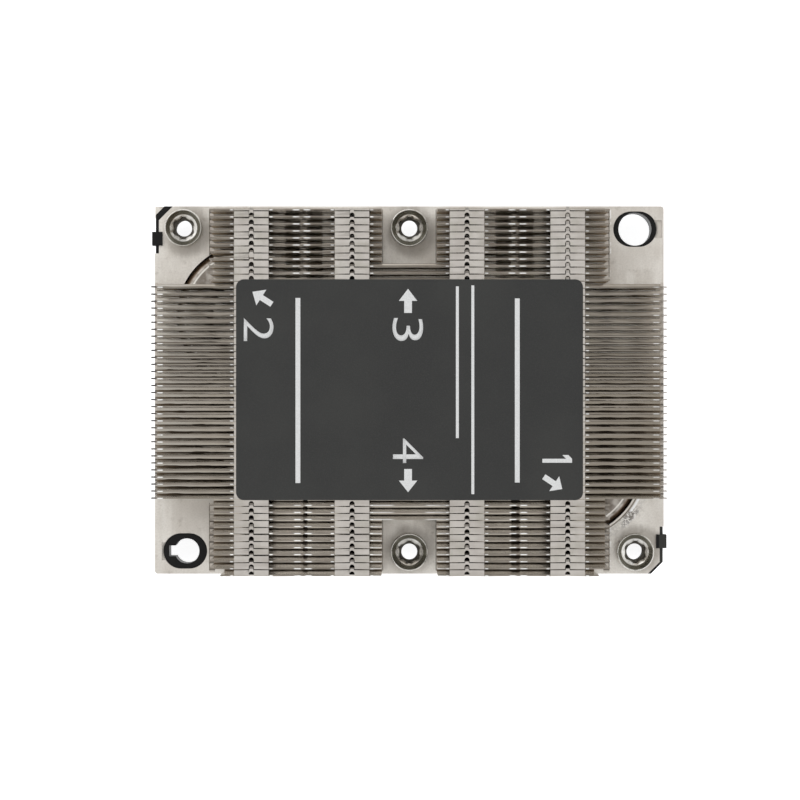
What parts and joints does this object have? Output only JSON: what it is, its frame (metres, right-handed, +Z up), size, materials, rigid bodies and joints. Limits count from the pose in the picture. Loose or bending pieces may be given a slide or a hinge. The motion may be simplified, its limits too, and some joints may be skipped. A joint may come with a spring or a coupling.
{
  "type": "passive server cpu heatsink",
  "caption": "Low passive processor heatsink: a plated base plate with flattened heat pipes, a stack of interlocking folded fins, captive screw nuts and a plastic processor clip.",
  "frame": {"origin": "centre of the contact face that touches the processor", "axes": "+X along the fins to the right of the picture, +Y to its top, +Z up from the processor through the fins"},
  "size_m": [0.109, 0.078, 0.0301],
  "materials": {
    "plated_copper": "satin nickel plating on copper",
    "pipe_metal": "satin nickel plating on copper tube",
    "fin_sheet": "nickel-plated sheet",
    "label_film": "matte printed film",
    "clip_moulding": "fine matte",
    "nut_steel": "turned and nickel plated",
    "ring_steel": "spring steel"
  },
  "bodies": {
    "heatsink": {"base_plate": "plated_copper", "heat_pipe_left": "pipe_metal", "heat_pipe_right": "pipe_metal", "fin_long_01": "fin_sheet", "fin_long_02": "fin_sheet", "fin_long_03": "fin_sheet", "fin_long_04": "fin_sheet", "fin_long_05": "fin_sheet", "fin_long_06": "fin_sheet", "fin_long_07": "fin_sheet", "fin_long_08": "fin_sheet", "fin_long_09": "fin_sheet", "fin_long_10": "fin_sheet", "fin_long_11": "fin_sheet", "fin_long_12": "fin_sheet", "fin_long_13": "fin_sheet", "fin_long_14": "fin_sheet", "fin_long_15": "fin_sheet", "fin_long_16": "fin_sheet", "fin_long_17": "fin_sheet", "fin_long_18": "fin_sheet", "fin_long_19": "fin_sheet", "fin_long_20": "fin_sheet", "fin_long_21": "fin_sheet", "fin_long_22": "fin_sheet", "fin_long_23": "fin_sheet", "fin_long_24": "fin_sheet", "fin_long_25": "fin_sheet", "fin_long_26": "fin_sheet", "fin_long_27": "fin_sheet", "fin_long_28": "fin_sheet", "fin_long_29": "fin_sheet", "fin_long_30": "fin_sheet", "fin_long_31": "fin_sheet", "fin_medium_rear_1": "fin_sheet", "fin_medium_rear_2": "fin_sheet", "fin_medium_rear_3": "fin_sheet", "fin_medium_front_1": "fin_sheet", "fin_medium_front_2": "fin_sheet", "fin_medium_front_3": "fin_sheet", "short_fins_rear_left": "fin_sheet", "short_fins_rear_right": "fin_sheet", "short_fins_front_left": "fin_sheet", "short_fins_front_right": "fin_sheet", "label": "label_film", "processor_clip": "clip_moulding"},
    "nut_rear_left": {"captive_nut_rear_left": "nut_steel", "retaining_ring_rear_left": "ring_steel"},
    "nut_rear": {"captive_nut_rear": "nut_steel", "retaining_ring_rear": "ring_steel"},
    "nut_front": {"captive_nut_front": "nut_steel", "retaining_ring_front": "ring_steel"},
    "nut_front_right": {"captive_nut_front_right": "nut_steel", "retaining_ring_front_right": "ring_steel"}
  },
  "joints": [
    {"name": "nut_rear_left_turn", "type": "hinge", "parent": "heatsink", "child": "nut_rear_left", "pos_m": [-0.04775, 0.03425, 0.003], "axis": [0, 0, 1], "continuous": true},
    {"name": "nut_rear_turn", "type": "hinge", "parent": "heatsink", "child": "nut_rear", "pos_m": [0, 0.03425, 0.003], "axis": [0, 0, 1], "continuous": true},
    {"name": "nut_front_turn", "type": "hinge", "parent": "heatsink", "child": "nut_front", "pos_m": [0, -0.03425, 0.003], "axis": [0, 0, 1], "continuous": true},
    {"name": "nut_front_right_turn", "type": "hinge", "parent": "heatsink", "child": "nut_front_right", "pos_m": [0.04775, -0.03425, 0.003], "axis": [0, 0, 1], "continuous": true}
  ]
}
